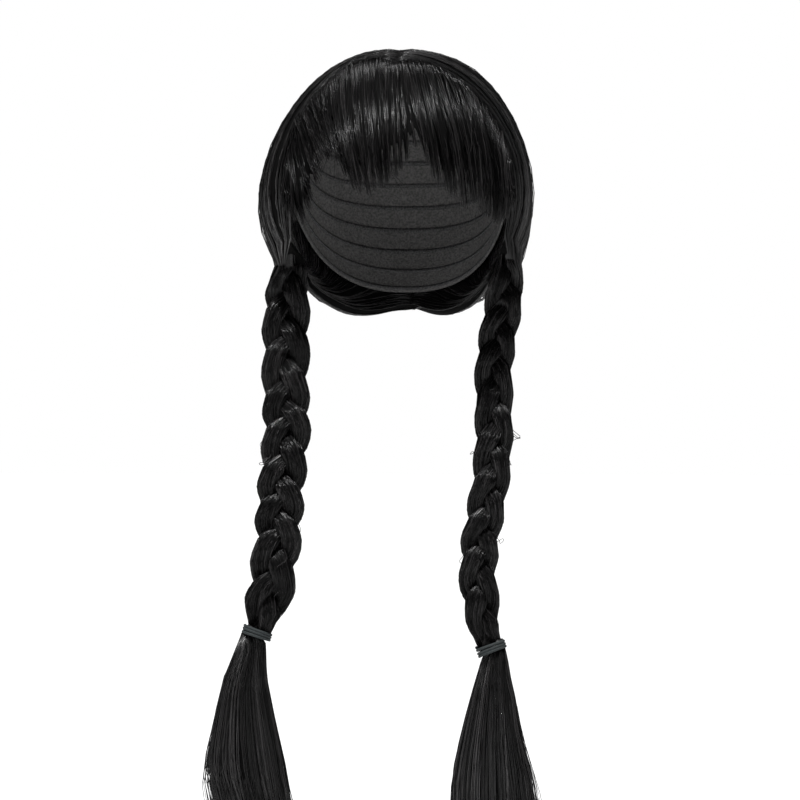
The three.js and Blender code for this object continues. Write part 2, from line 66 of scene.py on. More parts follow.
# How the hair lies from the front edge (at 0) to the nape hem (at 1): where it leaves the parting, and an
# upper and a lower place that it passes on its way to the gather. Azimuths are from the face, polar angles
# from the top, all in degrees.
FRONT_EDGE = {
    "right": {
        "at": 0, "part": -27, "upper_azimuth": 60, "upper_polar": 46,
        "lower_azimuth": 62, "lower_polar": 94,
    },
    "left": {
        "at": 0, "part": -27, "upper_azimuth": 66, "upper_polar": 42,
        "lower_azimuth": 86, "lower_polar": 92,
    },
}
FLOW = [
    {
        "at": 0.25, "part": 8, "upper_azimuth": 88, "upper_polar": 50,
        "lower_azimuth": 92, "lower_polar": 98,
    },
    {
        "at": 0.5, "part": 50, "upper_azimuth": 112, "upper_polar": 68,
        "lower_azimuth": 108, "lower_polar": 108,
    },
    {
        "at": 0.75, "part": 94, "upper_azimuth": 134, "upper_polar": 98,
        "lower_azimuth": 122, "lower_polar": 124,
    },
    {
        "at": 1, "part": 141, "upper_azimuth": 158, "upper_polar": 146,
        "lower_azimuth": 121, "lower_polar": 143,
    },
]
PASSES = (0, 0.4, 0.75, 1)
LAST_SHARE = 0.93  # how far along the flow the CAD halves are measured
PARTING_SHIFT = 3.5 * MM  # the parting lies this far to the wearer's left
PARTING_OVERLAP = 0.004  # how far past the parting the hair starts, as a share of the flow

# The line of the fringe's tips: where the hair is rooted, from -1 at the wearer's right temple to 1 at the
# left, the direction that it reaches, and how full it is there.
FRINGE_TIPS = [
    {"at": -1, "azimuth": -62, "polar": 97, "full": 1},
    {"at": -0.96, "azimuth": -50, "polar": 99, "full": 1},
    {"at": -0.9, "azimuth": -39, "polar": 103.5, "full": 1},
    {"at": -0.84, "azimuth": -33, "polar": 99, "full": 1},
    {"at": -0.76, "azimuth": -27, "polar": 87.5, "full": 0.8},
    {"at": -0.69, "azimuth": -23.5, "polar": 79.5, "full": 0.5},
    {"at": -0.6, "azimuth": -20, "polar": 76, "full": 0.4},
    {"at": -0.52, "azimuth": -16, "polar": 80, "full": 0.5},
    {"at": -0.42, "azimuth": -11.5, "polar": 85.5, "full": 0.8},
    {"at": -0.3, "azimuth": -7, "polar": 90, "full": 1},
    {"at": -0.17, "azimuth": -1, "polar": 90, "full": 1},
    {"at": -0.07, "azimuth": 3, "polar": 86, "full": 1},
    {"at": 0.01, "azimuth": 7, "polar": 83, "full": 1},
    {"at": 0.07, "azimuth": 11, "polar": 79, "full": 1},
    {"at": 0.1, "azimuth": 13, "polar": 74, "full": 0.9},
    {"at": 0.12, "azimuth": 16.5, "polar": 79, "full": 1},
    {"at": 0.185, "azimuth": 22, "polar": 87.5, "full": 1},
    {"at": 0.3, "azimuth": 30, "polar": 92, "full": 1},
    {"at": 0.44, "azimuth": 39, "polar": 95.5, "full": 1},
    {"at": 0.58, "azimuth": 47, "polar": 99, "full": 1},
    {"at": 0.74, "azimuth": 56, "polar": 102, "full": 1},
    {"at": 0.88, "azimuth": 64, "polar": 100, "full": 1},
    {"at": 0.96, "azimuth": 72, "polar": 97, "full": 1},
    {"at": 1, "azimuth": 86, "polar": 95, "full": 1},
]
BAND_REACH = 0.62  # how far down the front edge of the hair the fringe is sewn
BAND_SET_FORWARD = 1 * MM
BEFORE_FIRST = -0.3  # how far a smooth curve may run on before its table's first row, in steps


# Small helpers


def ease(low, high, value):
    """0 below low, 1 above high, and smooth between."""
    share = np.clip((value - low) / (high - low), 0, 1)
    return share * share * (3 - 2 * share)


def mix(a, b, share):
    return a + (b - a) * share


def unit(vectors):
    return vectors / np.linalg.norm(vectors, axis=-1, keepdims=True)


def along(rows, column, place):
    """A table's column at places between its rows, on a smooth curve through them."""
    at = np.array([row["at"] for row in rows], float)
    values = np.array([row[column] for row in rows], float)
    slopes = np.gradient(values, at)
    low = np.clip(np.searchsorted(at, place) - 1, 0, len(rows) - 2)
    span = at[low + 1] - at[low]
    s = np.clip((place - at[low]) / span, BEFORE_FIRST, 1)
    return (
        (2 * s**3 - 3 * s**2 + 1) * values[low]
        + (s**3 - 2 * s**2 + s) * slopes[low] * span
        + (3 * s**2 - 2 * s**3) * values[low + 1]
        + (s**3 - s**2) * slopes[low + 1] * span
    )


def direction(azimuth, polar):
    azimuth, polar = np.radians(azimuth), np.radians(polar)
    return np.stack(
        [np.sin(polar) * np.sin(azimuth), -np.sin(polar) * np.cos(azimuth), np.cos(polar) + 0 * azimuth], -1
    )


def head_reach(way):
    return 1 / np.linalg.norm(way / HEAD, axis=-1)


def waver(rng, count, points, waves):
    """A smooth wandering of about -1 to 1 for each of count fibres, at each of its points."""
    share = np.linspace(0, 1, points)
    total = np.zeros((count, points))
    for wave in range(1, waves + 1):
        phase = rng.uniform(0, 2 * np.pi, (count, 1))
        total += rng.normal(0, 0.5 / wave**0.5, (count, 1)) * np.sin(np.pi * wave * share + phase)
    return total


def lock_tone(rng, lock, count):
    """A tone for each fibre, partly shared within its lock."""
    shared = rng.random(int(lock.max()) + 1)[lock]
    return (0.35 * shared + 0.65 * rng.random(count)) ** 3.5


def spread_points(rng, count, points):
    """Shares from 0 to 1 for each fibre, shifted so that the corners of neighbours don't line up."""
    step = 1 / (points - 1)
    share = np.broadcast_to(np.linspace(0, 1, points), (count, points)).copy()
    share[:, 1:-1] += rng.uniform(-0.48, 0.48, (count, 1)) * step
    return share


def in_tufts(rng, order, tufts, points, waves):
    """A wandering that is shared by neighbours, where order is each fibre's place from 0 to 1."""
    tuft = np.clip((order * tufts + rng.normal(0, 0.35, len(order))).astype(int), 0, tufts - 1)
    return waver(rng, tufts, points, waves)[tuft]


# Meshes from arrays


def new_mesh(name, points, faces_by_size, material, flow, tone):
    """A smooth mesh on body root. faces_by_size is a list of arrays, one for each number of corners."""
    mesh = bpy.data.meshes.new(name)
    loops = np.concatenate([faces.ravel() for faces in faces_by_size]).astype(np.int32)
    totals = np.concatenate([np.full(len(faces), faces.shape[1]) for faces in faces_by_size]).astype(np.int32)
    mesh.vertices.add(len(points))
    mesh.vertices.foreach_set("co", points.astype(np.float32).ravel())
    mesh.loops.add(len(loops))
    mesh.loops.foreach_set("vertex_index", loops)
    mesh.polygons.add(len(totals))
    mesh.polygons.foreach_set("loop_start", np.concatenate([[0], np.cumsum(totals)[:-1]]).astype(np.int32))
    mesh.polygons.foreach_set("use_smooth", np.ones(len(totals), bool))
    flow_data = mesh.attributes.new("flow", "FLOAT_VECTOR", "POINT").data
    flow_data.foreach_set("vector", flow.astype(np.float32).ravel())
    tone_data = mesh.attributes.new("tone", "FLOAT", "POINT").data
    tone_data.foreach_set("value", tone.astype(np.float32).ravel())
    mesh.update(calc_edges=True)
    mesh.validate()
    mesh.materials.append(material)
    piece = bpy.data.objects.new(name, mesh)
    bpy.context.scene.collection.objects.link(piece)
    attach(piece, "root")
    return piece


def fibre_arrays(paths, radius, outwards, tone):
    """Closed three-sided fibres along paths, thinning towards both ends."""
    count, points = paths.shape[:2]
    heading = unit(np.gradient(paths, axis=1))
    sideways = unit(np.cross(heading, outwards))
    up = np.cross(sideways, heading)
    share = np.linspace(0, 1, points)
    thin = (0.45 + 0.55 * ease(1, 0.8, share)) * (0.6 + 0.4 * ease(0, 0.1, share))
    size = (np.broadcast_to(radius, (count,))[:, None] * thin)[..., None]
    corners = []
    for corner in range(3):
        angle = 2 * np.pi * corner / 3 + np.pi / 2
        corners.append(paths + size * (math.cos(angle) * sideways + math.sin(angle) * up))
    verts = np.stack(corners, 2).reshape(-1, 3)
    ring = (np.arange(count)[:, None] * points + np.arange(points - 1)[None, :]).reshape(-1, 1) * 3
    quads = []
    for corner in range(3):
        after = (corner + 1) % 3
        quads.append(np.hstack([ring + corner, ring + corner + 3, ring + after + 3, ring + after]))
    first = np.arange(count)[:, None] * points * 3
    last = first + (points - 1) * 3
    ends = np.vstack([first + np.array([0, 1, 2]), last + np.array([2, 1, 0])])
    flow = np.zeros((count, points, 3, 3))
    flow[..., 0] = (np.arange(count) * 0.37)[:, None, None]
    flow[..., 1] = share[None, :, None]
    tones = np.broadcast_to(tone[:, None, None], (count, points, 3))
    return verts, np.vstack(quads), ends, flow.reshape(-1, 3), tones.reshape(-1)


def loft_arrays(rings):
    """A closed solid through rings of points, with flow running from the first ring to the last."""
    rows, columns = rings.shape[:2]
    grid = np.arange(rows * columns).reshape(rows, columns)
    after = np.roll(grid, -1, 1)
    quads = np.stack([grid[:-1], after[:-1], after[1:], grid[1:]], -1).reshape(-1, 4)
    centres = np.stack([rings[0].mean(0), rings[-1].mean(0)])
    verts = np.vstack([rings.reshape(-1, 3), centres])
    top = np.stack([after[0], grid[0], np.full(columns, rows * columns)], -1)
    bottom = np.stack([grid[-1], after[-1], np.full(columns, rows * columns + 1)], -1)
    faces = np.vstack([top, bottom])
    around = np.linspace(0, 1, columns)
    flow = np.zeros((rows, columns, 3))
    flow[..., 0] = np.sin(np.pi * around) * STREAKS
    flow[..., 1] = np.linspace(0, 1, rows)[:, None]
    flow = np.vstack([flow.reshape(-1, 3), np.zeros((2, 3))])
    spans = rings[1] - rings[0]
    edge = np.roll(rings[0], -1, 0) - rings[0]
    outside = np.einsum("ij,ij->", np.cross(edge, spans), rings[0] - centres[0])
    if outside < 0:
        quads, faces = quads[:, ::-1], faces[:, ::-1]
    return verts, quads, faces, flow, np.full(len(verts), SOLID_TONE)


def sheet_arrays(outer, inner):
    """A closed sheet between an outer and an inner grid of points, with flow running down its rows."""
    rows, columns = outer.shape[:2]
    grid = np.arange(rows * columns).reshape(rows, columns)
    back = grid + rows * columns
    face = np.stack([grid[:-1, :-1], grid[:-1, 1:], grid[1:, 1:], grid[1:, :-1]], -1).reshape(-1, 4)
    quads = [face, face[:, ::-1] + rows * columns]
    edges = (
        (grid[0], back[0], False),
        (grid[-1], back[-1], True),
        (grid[:, 0], back[:, 0], True),
        (grid[:, -1], back[:, -1], False),
    )
    for near, far, turned in edges:
        wall = np.stack([near[:-1], far[:-1], far[1:], near[1:]], -1)
        quads.append(wall[:, ::-1] if turned else wall)
    quads = np.vstack(quads)
    verts = np.vstack([outer.reshape(-1, 3), inner.reshape(-1, 3)])
    normal = np.cross(outer[0, 1] - outer[0, 0], outer[1, 0] - outer[0, 0])
    if normal @ (outer[0, 0] - inner[0, 0]) < 0:
        quads = quads[:, ::-1]
    flow = np.zeros((2, rows, columns, 3))
    flow[..., 0] = np.linspace(0, STREAKS, columns)
    flow[..., 1] = np.linspace(0, 1, rows)[:, None]
    none = np.zeros((0, 3), int)
    return verts, quads, none, flow.reshape(-1, 3), np.full(len(verts), SOLID_TONE)


def joined(name, parts, material, slot_name, *nodes):
    """One piece from several lots of arrays, which stands for the CAD nodes."""
    shift = 0
    quads, triangles = [], []
    for verts, four, three, _, _ in parts:
        quads.append(four + shift)
        triangles.append(three + shift)
        shift += len(verts)
    points = np.vstack([part[0] for part in parts])
    flow = np.vstack([part[3] for part in parts])
    tone = np.concatenate([part[4] for part in parts])
    faces = [np.vstack(quads), np.vstack(triangles)]
    piece = new_mesh(name, points, faces, material, flow, tone)
    if nodes:
        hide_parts(*nodes)
    return piece


# Reading the frame


def triangles_of(node):
    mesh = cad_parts[node].data
    mesh.calc_loop_triangles()
    corners = np.zeros(len(mesh.loop_triangles) * 3, np.int32)
    mesh.loop_triangles.foreach_get("vertices", corners)
    points = np.zeros(len(mesh.vertices) * 3, np.float32)
    mesh.vertices.foreach_get("co", points)
    return points.reshape(-1, 3)[corners.reshape(-1, 3)].astype(float)


def tree_of(node):
    corners = triangles_of(node).reshape(-1, 3)
    faces = np.arange(len(corners)).reshape(-1, 3)
    return BVHTree.FromPolygons([Vector(point) for point in corners], faces.tolist())


def inner_and_outer(tree, ways):
    """How far from the head's centre the solid starts and ends each way. A miss takes its neighbour's."""
    far = 0.3
    flat = ways.reshape(-1, 3)
    found = np.full((2, len(flat)), np.nan)
    for i, way in enumerate(flat):
        near_hit = tree.ray_cast(Vector(CENTRE), Vector(way))[3]
        far_hit = tree.ray_cast(Vector(CENTRE + way * far), Vector(-way))[3]
        if near_hit is not None and far_hit is not None:
            found[:, i] = near_hit, far - far_hit
    found = found.reshape((2,) + ways.shape[:-1])
    for grid in found:
        for row in grid:
            known = np.flatnonzero(~np.isnan(row))
            if len(known):
                row[:] = np.interp(np.arange(len(row)), known, row[known])
        for column in grid.T:
            known = np.flatnonzero(~np.isnan(column))
            column[:] = np.interp(np.arange(len(column)), known, column[known])
    return found


def blurred(grid, times, wrap=False, axes=(0, 1)):
    """The grid with its facets smoothed out."""
    for _ in range(times):
        for axis in axes:
            mode = "wrap" if wrap and axis == 1 else "edge"
            pads = [(1, 1) if k == axis else (0, 0) for k in (0, 1)]
            padded = np.pad(grid, pads, mode=mode)
            size = grid.shape[axis]
            before, here, after = (padded.take(range(start, start + size), axis=axis) for start in range(3))
            grid = before * 0.25 + here * 0.5 + after * 0.25
    return grid


def sampled(grid, row, column):
    """The grid at places between its points, with row and column from 0 to 1."""
    row = np.clip(row, 0, 1) * (grid.shape[0] - 1)
    column = np.clip(column, 0, 1) * (grid.shape[1] - 1)
    r = np.minimum(row.astype(int), grid.shape[0] - 2)
    c = np.minimum(column.astype(int), grid.shape[1] - 2)
    u, v = row - r, column - c
    return (
        grid[r, c] * (1 - u) * (1 - v)
        + grid[r + 1, c] * u * (1 - v)
        + grid[r, c + 1] * (1 - u) * v
        + grid[r + 1, c + 1] * u * v
    )


class Column:
    """An upright solid by its level cuts: each level's middle, and how far it reaches at each angle."""

    def __init__(self, nodes, levels, angles, smooth):
        corners = np.concatenate([triangles_of(node) for node in nodes])
        top, bottom = corners[..., 2].max(), corners[..., 2].min()
        self.heights = np.linspace(top - 0.6 * MM, bottom + 0.6 * MM, levels)
        self.middles = np.zeros((levels, 2))
        self.reaches = np.zeros((levels, angles))
        self.boxes = np.zeros((levels, 4))
        turn = np.linspace(-np.pi, np.pi, angles, endpoint=False)
        for level, height in enumerate(self.heights):
            points = self.cut(corners, height)
            low, high = points.min(0), points.max(0)
            middle = (low + high) / 2
            offset = points - middle
            angle = np.arctan2(offset[:, 1], offset[:, 0])
            order = np.argsort(angle)
            self.middles[level] = middle
            self.boxes[level] = [*low, *high]
            self.reaches[level] = np.interp(
                turn, angle[order], np.hypot(*offset.T)[order], period=2 * np.pi
            )
        self.middles = blurred(self.middles, smooth, axes=(0,))
        self.reaches = blurred(self.reaches, smooth, wrap=True)

    @staticmethod
    def cut(corners, height):
        points = []
        for a, b in ((0, 1), (1, 2), (2, 0)):
            start, end = corners[:, a], corners[:, b]
            crossing = (start[:, 2] - height) * (end[:, 2] - height) < 0
            start, end = start[crossing], end[crossing]
            share = (height - start[:, 2]) / (end[:, 2] - start[:, 2])
            points.append((start + (end - start) * share[:, None])[:, :2])
        return np.vstack(points)

    def at(self, share, angle, fill):
        """Points at a share of the way down, at an angle, and at a share of the way out from the middle."""
        row = np.clip(share, 0, 1) * (len(self.heights) - 1)
        r = np.minimum(row.astype(int), len(self.heights) - 2)
        u = (row - r)[..., None]
        middle = self.middles[r] * (1 - u) + self.middles[r + 1] * u
        turn = (angle + np.pi) / (2 * np.pi) % 1
        wrapped = np.hstack([self.reaches, self.reaches[:, :1]])
        out = sampled(wrapped, share, turn) * fill
        height = np.interp(share, np.linspace(0, 1, len(self.heights)), self.heights)
        x = middle[..., 0] + out * np.cos(angle)
        y = middle[..., 1] + out * np.sin(angle)
        return np.stack([x, y, height + 0 * out], -1)

    def rings(self, levels, angles, fill):
        share = np.linspace(0, 1, levels)[:, None]
        angle = np.linspace(-np.pi, np.pi, angles, endpoint=False)[None, :]
        share, angle = np.broadcast_arrays(share, angle)
        return self.at(share, angle, np.broadcast_to(fill, share.shape))


# Materials


def shader(name, roughness, gloss=0.5):
    material = bpy.data.materials.new(name)
    material.use_nodes = True
    tree = material.node_tree
    bsdf = tree.nodes["Principled BSDF"]
    bsdf.inputs["Roughness"].default_value = roughness
    bsdf.inputs["Specular IOR Level"].default_value = gloss
    return material, tree, bsdf


def attribute(tree, name):
    node = tree.nodes.new("ShaderNodeAttribute")
    node.attribute_name = name
    return node


def hair_material(name, dark, light, roughness, gloss):
    """Black hair, coloured by a ramp between two tones."""
    material, tree, bsdf = shader(name, roughness, gloss)
    ramp = tree.nodes.new("ShaderNodeValToRGB")
    ramp.color_ramp.elements[0].color = (*dark, 1)
    ramp.color_ramp.elements[1].color = (*light, 1)
    tree.links.new(ramp.outputs["Color"], bsdf.inputs["Base Color"])
    return material, tree, bsdf, ramp


def fibre_material(name, dark, light, roughness, gloss):
    """Black fibres, each with its own tone. The lighter ones are smoother too."""
    material, tree, bsdf, ramp = hair_material(name, dark, light, roughness, gloss)
    tone = attribute(tree, "tone").outputs["Fac"]
    tree.links.new(tone, ramp.inputs["Fac"])
    dullness = tree.nodes.new("ShaderNodeMapRange")
    dullness.inputs["To Min"].default_value = roughness * 1.3
    dullness.inputs["To Max"].default_value = roughness * 0.6
    tree.links.new(tone, dullness.inputs["Value"])
    tree.links.new(dullness.outputs["Result"], bsdf.inputs["Roughness"])
    return material


def underlayer_material(name, dark, light, roughness, gloss):
    """The dull hair of a solid under the fibres, streaked along its flow."""
    material, tree, bsdf, ramp = hair_material(name, dark, light, roughness, gloss)
    stretch = tree.nodes.new("ShaderNodeVectorMath")
    stretch.operation = "MULTIPLY"
    stretch.inputs[1].default_value = (9, 3, 1)
    tree.links.new(attribute(tree, "flow").outputs["Vector"], stretch.inputs[0])
    noise = tree.nodes.new("ShaderNodeTexNoise")
    noise.inputs["Scale"].default_value = 1.0
    noise.inputs["Detail"].default_value = 3.0
    tree.links.new(stretch.outputs[0], noise.inputs["Vector"])
    tree.links.new(noise.outputs["Fac"], ramp.inputs["Fac"])
    bump = tree.nodes.new("ShaderNodeBump")
    bump.inputs["Strength"].default_value = 0.6
    bump.inputs["Distance"].default_value = 0.4 * MM
    tree.links.new(noise.outputs["Fac"], bump.inputs["Height"])
    tree.links.new(bump.outputs["Normal"], bsdf.inputs["Normal"])
    return material


def woven_material(name, dark, light, roughness, scale, depth):
    """Cloth or covered elastic: a fine weave over a slightly uneven colour."""
    material, tree, bsdf = shader(name, roughness, 0.2)
    place = tree.nodes.new("ShaderNodeTexCoord")
    noise = tree.nodes.new("ShaderNodeTexNoise")
    noise.inputs["Scale"].default_value = scale
    noise.inputs["Detail"].default_value = 4.0
    tree.links.new(place.outputs["Object"], noise.inputs["Vector"])
    ramp = tree.nodes.new("ShaderNodeValToRGB")
    ramp.color_ramp.elements[0].position = 0.35
    ramp.color_ramp.elements[0].color = (*dark, 1)
    ramp.color_ramp.elements[1].position = 0.65
    ramp.color_ramp.elements[1].color = (*light, 1)
    tree.links.new(noise.outputs["Fac"], ramp.inputs["Fac"])
    tree.links.new(ramp.outputs["Color"], bsdf.inputs["Base Color"])
    bump = tree.nodes.new("ShaderNodeBump")
    bump.inputs["Strength"].default_value = 0.7
    bump.inputs["Distance"].default_value = depth
    tree.links.new(noise.outputs["Fac"], bump.inputs["Height"])
    tree.links.new(bump.outputs["Normal"], bsdf.inputs["Normal"])
    return material


FIBRES = fibre_material("hair_fibres", (0.0008, 0.0008, 0.0009), (0.065, 0.062, 0.063), 0.23, 0.38)
# A shaded copy of the hair fibres for the plaits and the fringe: the same hair with a darker colour and
# weaker gloss, which is painted shade.
SHADED_FIBRES = fibre_material("shaded_hair_fibres", (0.0006, 0.0006, 0.0007), (0.055, 0.052, 0.053), 0.2, 0.18)
UNDERLAYER = underlayer_material("hair_underlayer", (0.001, 0.001, 0.001), (0.003, 0.003, 0.003), 0.8, 0.06)
NET = woven_material("cap_net", (0.062, 0.061, 0.06), (0.128, 0.126, 0.125), 0.85, 700, 0.5 * MM)
WEFT = woven_material("cap_weft", (0.03, 0.03, 0.031), (0.09, 0.09, 0.091), 0.8, 900, 0.4 * MM)
ELASTIC = woven_material("covered_elastic", (0.018, 0.022, 0.023), (0.04, 0.047, 0.048), 0.7, 1500, 0.3 * MM)


# The plaits


def plait_column(nodes):
    return Column(nodes, levels=130, angles=18, smooth=1)


PLAITS = {(side, k): plait_column([f"plait_{side}_strand_{k}"]) for side in SIDES for k in STRANDS}
ENVELOPES = {side: plait_column([f"plait_{side}_strand_{k}" for k in STRANDS]) for side in SIDES}


def pressed(side, points):
    """Points of a spread strand, held within the plait's width and depth."""
    envelope = ENVELOPES[side]
    height = points[..., 2]
    held = points.copy()
    for axis in (0, 1):
        low = np.interp(height, envelope.heights[::-1], envelope.boxes[::-1, axis])
        high = np.interp(height, envelope.heights[::-1], envelope.boxes[::-1, axis + 2])
        middle, half = (low + high) / 2, (high - low) / 2 + 0.6 * MM
        out = (points[..., axis] - middle) / half
        held[..., axis] = middle + half * out / (1 + np.abs(out) ** 9) ** (1 / 9)
    return held


def plait_strand(side, k, rng):
    """A strand of a plait: an underlayer with fibres laid along it and a few loose ones."""
    column = PLAITS[side, k]
    count, points = 190, 38
    share = spread_points(rng, count, points)
    order = np.sort(rng.random(count))
    angle = (2 * order[:, None] - 1) * np.pi + 0.22 * waver(rng, count, points, 3)
    bundle = 0.05 * np.cos(7 * angle + 2 * k)
    fill = STRAND_SPREAD - np.abs(rng.normal(0, 0.04, (count, 1))) + bundle
    fill = fill + 0.035 * in_tufts(rng, order, 60, points, 9)
    loose = rng.random((count, 1)) < 0.03
    fill = fill + loose * 0.2 * np.abs(waver(rng, count, points, 4))
    paths = pressed(side, column.at(share, angle, fill))
    outwards = np.stack([np.cos(angle), np.sin(angle), 0 * angle], -1)
    thickness = 1.25 * FIBRE * rng.uniform(0.8, 1.2, count)
    fibres = fibre_arrays(paths, thickness, outwards, lock_tone(rng, (order * 24).astype(int), count))
    under = loft_arrays(pressed(side, column.rings(120, 20, STRAND_SPREAD - STRAND_SKIN)))
    joined(f"strand_{side}_{k}_under", [under], UNDERLAYER, "hair", f"plait_{side}_strand_{k}")
    # The fibres of a plait take the shaded copy of the hair, whose darker colour is painted shade.
    joined(f"strand_{side}_{k}_fibres", [fibres], SHADED_FIBRES, "hair")


def stray_curls(side, rng):
    """Fine stray hairs that curl out of a plait and back in."""
    count, points = 16, 26
    turn = np.linspace(0, 1, points)[None, :]
    start, span = rng.uniform(0.3, 0.88, (count, 1)), rng.uniform(0.03, 0.11, (count, 1))
    share = start + span * turn + rng.uniform(0, 0.35, (count, 1)) * span * np.sin(2 * np.pi * turn)
    angle = np.where(rng.random((count, 1)) < 0.5, 0.0, np.pi) + rng.normal(0, 0.4, (count, 1))
    angle = angle + rng.normal(0, 0.5, (count, 1)) * turn
    fill = 0.9 + rng.uniform(0.3, 1.0, (count, 1)) * np.sin(np.pi * turn)
    paths = ENVELOPES[side].at(share, angle, fill)
    outwards = np.stack([np.cos(angle), np.sin(angle), 0 * angle], -1)
    curls = fibre_arrays(paths, np.full(count, FIBRE), outwards, rng.random(count))
    joined(f"plait_{side}_strays", [curls], FIBRES, "hair")


# The hair of each half


def gather_ways(side, around):
    """The directions from the head's centre to the oval where the hair is gathered."""
    tops = np.vstack([PLAITS[side, k].rings(2, 12, 1.0)[0] for k in STRANDS])
    low, high = tops.min(0), tops.max(0)
    middle = (low + high) / 2
    angle = np.pi * mix(0.06, 0.94, around)
    point = np.broadcast_to(middle, around.shape + (3,)).copy()
    point[..., 1] -= 0.5 * (high[1] - low[1]) * np.cos(angle)
    return unit(point - CENTRE)


def flow_way(side, share, around):
    """Directions on the smooth path from the parting to the gather."""
    sign = SIDES[side]
    rows = [FRONT_EDGE[side]] + FLOW
    part = np.radians(along(rows, "part", around))
    start = unit(np.stack([PARTING_SHIFT / HEAD[2] + 0 * part, np.sin(part), np.cos(part)], -1))
    upper = direction(sign * along(rows, "upper_azimuth", around), along(rows, "upper_polar", around))
    lower = direction(sign * along(rows, "lower_azimuth", around), along(rows, "lower_polar", around))
    mixed = 0
    for i, way in enumerate((start, upper, lower, gather_ways(side, around))):
        weight = 1
        for k, other in enumerate(PASSES):
            if k != i:
                weight = weight * (share - other) / (PASSES[i] - other)
        mixed = mixed + np.asarray(weight)[..., None] * way
    return unit(mixed)


def hair_depths(side):
    """The inner and outer faces of one half, by share of the flow and place round it."""
    rows, columns = np.linspace(0.01, LAST_SHARE, 56), np.linspace(0.006, 0.994, 72)
    share, around = np.meshgrid(rows, columns, indexing="ij")
    inner, outer = inner_and_outer(tree_of(f"hair_{side}"), flow_way(side, share, around))
    return tuple(blurred(blurred(grid, 26, axes=(0,)), 6, axes=(1,)) for grid in (inner, outer))


def hair_points(side, depths, share, around, depth):
    way = flow_way(side, share, around)
    inner, outer = (sampled(grid, share / LAST_SHARE, around) for grid in depths)
    distance = np.maximum(mix(inner, outer, depth), head_reach(way) + CAP_CLEARANCE)
    return CENTRE + way * distance[..., None], way


def into_plait(side, ends, rng):
    """Where fibres that end at the gather go on: into the nearest strand and a little way down it."""
    count = len(ends)
    tops = np.stack([PLAITS[side, k].at(np.zeros(1), np.zeros(1), np.zeros(1))[0] for k in STRANDS])
    nearest = np.linalg.norm(ends[:, None, :2] - tops[None, :, :2], axis=-1).argmin(1)
    steps = np.array([0.012, 0.04, 0.075, 0.12])
    paths = np.zeros((count, len(steps), 3))
    for index, k in enumerate(STRANDS):
        chosen = nearest == index
        offset = ends[chosen, :2] - tops[index, :2]
        angle = np.arctan2(offset[:, 1], offset[:, 0])[:, None] + 0 * steps
        share = np.broadcast_to(steps, angle.shape)
        fill = np.broadcast_to(rng.uniform(0.86, 1.03, (chosen.sum(), 1)), angle.shape)
        paths[chosen] = pressed(side, PLAITS[side, k].at(share, angle, fill * STRAND_SPREAD))
    return paths


def locks_of_half(rng, around, locks):
    """The lock that each fibre of a half belongs to, with that lock's middle and width."""
    bounds = np.linspace(0, 1, locks + 1) + rng.normal(0, 0.25 / locks, locks + 1)
    nearby = around + rng.normal(0, 0.1 / locks, len(around))
    lock = np.clip(np.searchsorted(bounds, nearby) - 1, 0, locks - 1)
    width = np.diff(bounds)[lock]
    middle = bounds[lock] + width / 2
    return lock, middle[:, None], width[:, None]


def hair_depth(rng, around, share, place, tuck, lock, lining):
    """How far out each fibre lies at each point, from 0 on the hair's inner face to 1 on the outer."""
    count, points = share.shape
    surface, lining_depth = 0.95, 0.03
    furrow = 0.09 * np.cos(2.4 * lock)[:, None] - 0.35 * tuck**2
    depth = surface + furrow * ease(0.02, 0.3, share) - np.abs(rng.normal(0, 0.03, (count, 1)))
    depth = depth + 0.02 * waver(rng, count, points, 4) + 0.035 * in_tufts(rng, around, 300, points, 5)
    depth = depth - 0.4 * ease(0.05, -0.06, place) * ease(0.05, 0.2, share)
    loose = (rng.random(count) < 0.02 * ease(0.97, 0.85, around))[:, None]
    depth = depth + loose * 0.08 * np.abs(waver(rng, count, points, 2)) * ease(0.05, 0.3, share)
    dip_at_parting = 0.16 * ease(0.04, -PARTING_OVERLAP, share)
    depth = depth - dip_at_parting
    depth = np.where(lining, lining_depth + np.abs(rng.normal(0, 0.02, (count, 1))), depth)
    brim = (around < 0.02)[:, None] & (rng.random((count, 1)) < 0.6)
    return np.where(brim, rng.uniform(0.05, 0.95, (count, 1)), depth)


def hair_fibres(side, depths, rng):
    """Fibres from the parting into the plait, drawn into locks, and some that line the inner face."""
    count, points, locks = 1640, 13, 46
    around = ((np.arange(count) + rng.random(count)) / count) ** 1.12
    lining = (rng.random(count) < 0.14)[:, None]
    share = 0.9 * spread_points(rng, count, points) - PARTING_OVERLAP + rng.uniform(0, 0.008, (count, 1))
    lock, middle, width = locks_of_half(rng, around, locks)
    pull = 0.45 * ease(0.0, 0.4, share) * ease(1, 0.94, around)[:, None]
    wander = 0.005 * waver(rng, count, points, 3) * ease(0, 0.3, share)
    place = mix(around[:, None], middle, pull) + wander
    edge = (around < 0.05)[:, None] & ~lining
    place = place - edge * np.abs(rng.normal(0, 0.045, (count, 1))) * ease(0, 0.4, share)
    depth = hair_depth(rng, around, share, place, (place - middle) / width, lock, lining)
    paths, way = hair_points(side, depths, share, np.clip(place, -0.12, 1), depth)
    ends = into_plait(side, paths[:, -1], rng)
    whole = np.concatenate([paths, ends], 1)
    outwards = np.concatenate([way, np.repeat(way[:, -1:], ends.shape[1], 1)], 1)
    thickness = 1.2 * FIBRE * rng.uniform(0.8, 1.25, count)
    return fibre_arrays(whole, thickness, outwards, lock_tone(rng, lock, count))


def hair_underlayer(side, depths):
    """A dark sheet under the fibres, from the parting to the gather."""
    rows = np.linspace(-PARTING_OVERLAP, 0.96, 44)
    share, around = np.meshgrid(rows, np.linspace(0.03, 0.997, 72), indexing="ij")
    outer, _ = hair_points(side, depths, share, around, 0.82 + 0 * share)
    inner, _ = hair_points(side, depths, share, around, 0.08 + 0 * share)
    return sheet_arrays(outer, inner)


